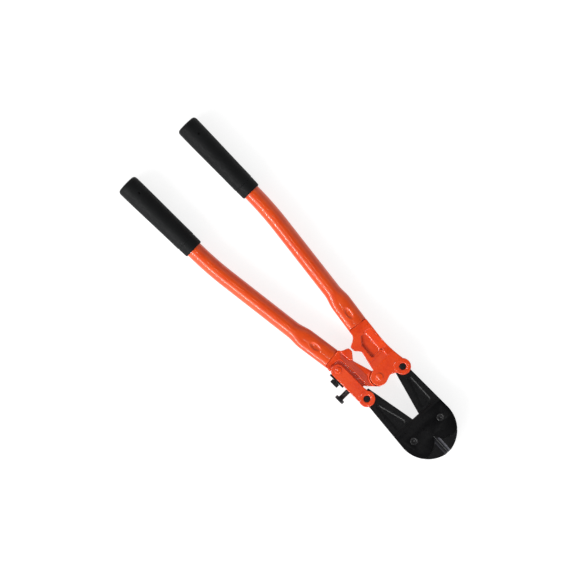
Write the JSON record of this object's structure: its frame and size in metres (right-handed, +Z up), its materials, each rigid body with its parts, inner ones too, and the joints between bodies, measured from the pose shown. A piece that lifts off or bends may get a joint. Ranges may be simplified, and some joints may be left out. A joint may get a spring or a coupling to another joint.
{
  "type": "bolt cutters",
  "caption": "Long-handled bolt cutters: bent steel tube handles with rubber grips, forged clevis heads, centre-cut jaws on joint plates, and an adjusting link with set bolts.",
  "frame": {"origin": "centre of the bounding box on the surface the tool lies on", "axes": "+X towards the jaws along the handles' axis, +Y towards handle A, the one without the adjusting link, +Z up from the surface, along every pivot"},
  "size_m": [0.6024, 0.1552, 0.0336],
  "materials": {
    "orange_forging": "gloss orange enamel over a slightly rough forging",
    "orange_tube": "gloss orange enamel on smooth tube",
    "orange_rivet": "orange enamel over a peened rivet",
    "grip_rubber": "matt black grip with fine lengthwise texture",
    "jaw_steel": "satin black forged steel, ground bevels",
    "plate_steel": "satin black plate",
    "black_fastener": "black oxide"
  },
  "bodies": {
    "handle_a": {"handle_a_head": "orange_forging", "handle_a_tube": "orange_tube", "handle_a_grip": "grip_rubber", "center_rivet": "orange_rivet", "jaw_a_pivot_pin": "black_fastener"},
    "handle_b": {"handle_b_head": "orange_forging", "handle_b_tube": "orange_tube", "handle_b_grip": "grip_rubber"},
    "link": {"adjusting_link": "orange_forging", "link_rivet": "orange_rivet", "jaw_b_pivot_pin": "black_fastener", "lock_plate": "black_fastener"},
    "pull_bolt": {"pull_bolt": "black_fastener"},
    "push_bolt": {"push_bolt": "black_fastener"},
    "jaw_a": {"jaw_a": "jaw_steel"},
    "joint_plates": {"front_joint_plate": "plate_steel", "rear_joint_plate": "plate_steel", "jaw_bolt_a": "black_fastener", "jaw_bolt_b": "black_fastener", "jaw_nut_a": "black_fastener", "jaw_nut_b": "black_fastener"},
    "jaw_b": {"jaw_b": "jaw_steel"}
  },
  "joints": [
    {"name": "handle_pivot", "type": "hinge", "parent": "handle_a", "child": "handle_b", "pos_m": [0.15391, 0, 0.0168], "axis": [0, 0, 1], "range_deg": [0, 90]},
    {"name": "jaw_a_pivot", "type": "hinge", "parent": "handle_a", "child": "jaw_a", "pos_m": [0.16705, 0.03491, 0.0168], "axis": [0, 0, 1], "range_deg": [0, 54.88]},
    {"name": "plate_pivot", "type": "hinge", "parent": "jaw_a", "child": "joint_plates", "pos_m": [0.25692, 0.02166, 0.0168], "axis": [0, 0, 1], "range_deg": [-11.57, 0]},
    {"name": "jaw_b_pivot", "type": "hinge", "parent": "joint_plates", "child": "jaw_b", "pos_m": [0.25449, -0.02988, 0.0168], "axis": [0, 0, 1], "range_deg": [-11.57, 0]},
    {"name": "link_adjust", "type": "hinge", "parent": "handle_b", "child": "link", "pos_m": [0.10541, -0.0347, 0.0168], "axis": [0, 0, 1], "range_deg": [-0.5, 0.5]},
    {"name": "push_bolt_travel", "type": "slide", "parent": "link", "child": "push_bolt", "axis": [0, 1, 0], "range_m": [-0.00028, 0.00028]},
    {"name": "pull_bolt_travel", "type": "slide", "parent": "handle_b", "child": "pull_bolt", "axis": [0, 1, 0], "range_m": [-0.0001, 0.0001]}
  ],
  "couplings": [
    {"joint": "jaw_a_pivot", "follows": "handle_pivot", "ratio": 0.60961},
    {"joint": "plate_pivot", "follows": "handle_pivot", "ratio": -0.12848},
    {"joint": "jaw_b_pivot", "follows": "handle_pivot", "ratio": -0.12848},
    {"joint": "push_bolt_travel", "follows": "link_adjust", "m_per_rad": -0.0315},
    {"joint": "pull_bolt_travel", "follows": "link_adjust", "m_per_rad": 0.01}
  ]
}
